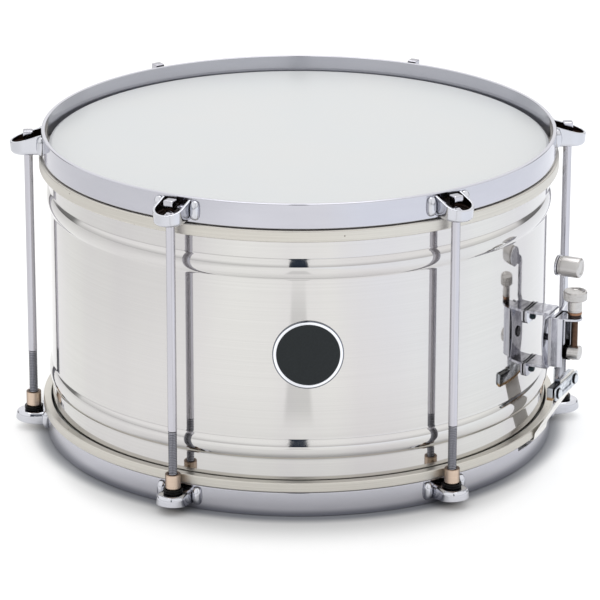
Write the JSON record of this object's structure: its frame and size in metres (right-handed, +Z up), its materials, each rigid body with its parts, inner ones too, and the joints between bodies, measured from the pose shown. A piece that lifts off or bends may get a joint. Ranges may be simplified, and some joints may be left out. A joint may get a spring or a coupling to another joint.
{
  "type": "snare drum",
  "caption": "Shallow metal-shelled snare drum with plain hoops on full-length tension rods and a side throw-off for the snares.",
  "frame": {"origin": "centre of the batter head's top surface, on the drum's axis", "axes": "+Z up along the drum's axis, +X towards the throw-off strainer, the snares run along X, -Y is the side seen in the picture"},
  "size_m": [0.3572, 0.353, 0.1936],
  "materials": {
    "shell_aluminium": "spun satin with fine rings",
    "milky_film": "milky polyester film",
    "ring_aluminium": "satin",
    "hoop_chrome": "polished",
    "cast_chrome": "plated casting",
    "rod_chrome": "plated steel, threaded below",
    "nut_brass": "turned",
    "black_washer": "matte",
    "badge_plate": "charcoal with a pale ring, no lettering",
    "plated_steel": "plated sheet steel",
    "dark_bolt": "blackened",
    "satin_nickel": "satin nickel",
    "bronzed_screw": "bronzed thread",
    "white_strap": "smooth white film",
    "snare_wire": "bright coiled wire"
  },
  "bodies": {
    "drum": {"shell": "shell_aluminium", "batter_head_film": "milky_film", "snare_head_film": "milky_film", "batter_flesh_ring": "ring_aluminium", "snare_flesh_ring": "ring_aluminium", "top_hoop": "hoop_chrome", "bottom_hoop": "hoop_chrome", "top_ear_1": "cast_chrome", "top_ear_2": "cast_chrome", "top_ear_3": "cast_chrome", "top_ear_4": "cast_chrome", "top_ear_5": "cast_chrome", "top_ear_6": "cast_chrome", "bottom_ear_1": "cast_chrome", "bottom_ear_2": "cast_chrome", "bottom_ear_3": "cast_chrome", "bottom_ear_4": "cast_chrome", "bottom_ear_5": "cast_chrome", "bottom_ear_6": "cast_chrome", "tension_nut_1": "nut_brass", "tension_nut_2": "nut_brass", "tension_nut_3": "nut_brass", "tension_nut_4": "nut_brass", "tension_nut_5": "nut_brass", "tension_nut_6": "nut_brass", "nut_washer_1": "black_washer", "nut_washer_2": "black_washer", "nut_washer_3": "black_washer", "nut_washer_4": "black_washer", "nut_washer_5": "black_washer", "nut_washer_6": "black_washer", "badge": "badge_plate", "strainer_bracket": "plated_steel", "bracket_screw_upper": "dark_bolt", "bracket_screw_lower": "dark_bolt", "strainer_housing": "cast_chrome", "lever_pivot_pin": "plated_steel", "snare_strap": "white_strap", "butt_plate": "plated_steel", "butt_clamp": "cast_chrome", "butt_strap": "white_strap"},
    "rod_1": {"tension_rod_1": "rod_chrome"},
    "rod_2": {"tension_rod_2": "rod_chrome"},
    "rod_3": {"tension_rod_3": "rod_chrome"},
    "rod_4": {"tension_rod_4": "rod_chrome"},
    "rod_5": {"tension_rod_5": "rod_chrome"},
    "rod_6": {"tension_rod_6": "rod_chrome"},
    "lever": {"throw_off_lever": "plated_steel", "lever_grip": "satin_nickel"},
    "lift": {"lift_yoke": "plated_steel"},
    "adjuster": {"adjuster_knob": "satin_nickel", "adjuster_screw": "bronzed_screw"},
    "carriage": {"slider": "plated_steel", "barrel_nut": "satin_nickel"},
    "link": {"link_plate_near": "cast_chrome", "link_plate_far": "cast_chrome", "link_rivet_upper": "satin_nickel", "link_rivet_lower": "satin_nickel", "strap_clamp": "cast_chrome"},
    "snares": {"snare_unit": "snare_wire"}
  },
  "joints": [
    {"name": "rod_1_turn", "type": "hinge", "parent": "drum", "child": "rod_1", "pos_m": [-0.00693, -0.16526, 0], "axis": [0, 0, 1], "continuous": true},
    {"name": "rod_2_turn", "type": "hinge", "parent": "drum", "child": "rod_2", "pos_m": [0.13965, -0.08863, 0], "axis": [0, 0, 1], "continuous": true},
    {"name": "rod_3_turn", "type": "hinge", "parent": "drum", "child": "rod_3", "pos_m": [0.14658, 0.07663, 0], "axis": [0, 0, 1], "continuous": true},
    {"name": "rod_4_turn", "type": "hinge", "parent": "drum", "child": "rod_4", "pos_m": [0.00693, 0.16526, 0], "axis": [0, 0, 1], "continuous": true},
    {"name": "rod_5_turn", "type": "hinge", "parent": "drum", "child": "rod_5", "pos_m": [-0.13965, 0.08863, 0], "axis": [0, 0, 1], "continuous": true},
    {"name": "rod_6_turn", "type": "hinge", "parent": "drum", "child": "rod_6", "pos_m": [-0.14658, -0.07663, 0], "axis": [0, 0, 1], "continuous": true},
    {"name": "throw_off", "type": "hinge", "parent": "drum", "child": "lever", "pos_m": [0.169, 0, -0.104], "axis": [-1, 0, 0], "range_deg": [0, 90]},
    {"name": "lift_drop", "type": "slide", "parent": "drum", "child": "lift", "axis": [0, 0, -1], "range_m": [0, 0.004], "deforming": ["snare_strap"]},
    {"name": "knob_turn", "type": "hinge", "parent": "lift", "child": "adjuster", "pos_m": [0.1821, 0, -0.075], "axis": [0, 0, 1], "range_deg": [-1080, 1080]},
    {"name": "carriage_travel", "type": "slide", "parent": "lift", "child": "carriage", "axis": [0, 0, 1], "range_m": [-0.0024, 0.0024]},
    {"name": "link_swing", "type": "hinge", "parent": "carriage", "child": "link", "pos_m": [0.1865, 0, -0.1259], "axis": [0, -1, 0], "range_deg": [-2, 25]},
    {"name": "snare_drop", "type": "hinge", "parent": "drum", "child": "snares", "pos_m": [-0.129, 0, -0.1765], "axis": [0, 1, 0], "range_deg": [0, 0.5]}
  ],
  "couplings": [
    {"joint": "lift_drop", "follows": "throw_off", "m_per_rad": 0.00254},
    {"joint": "snare_drop", "follows": "throw_off", "ratio": 0.0055},
    {"joint": "knob_turn", "follows": "carriage_travel", "rad_per_m": -7854}
  ]
}
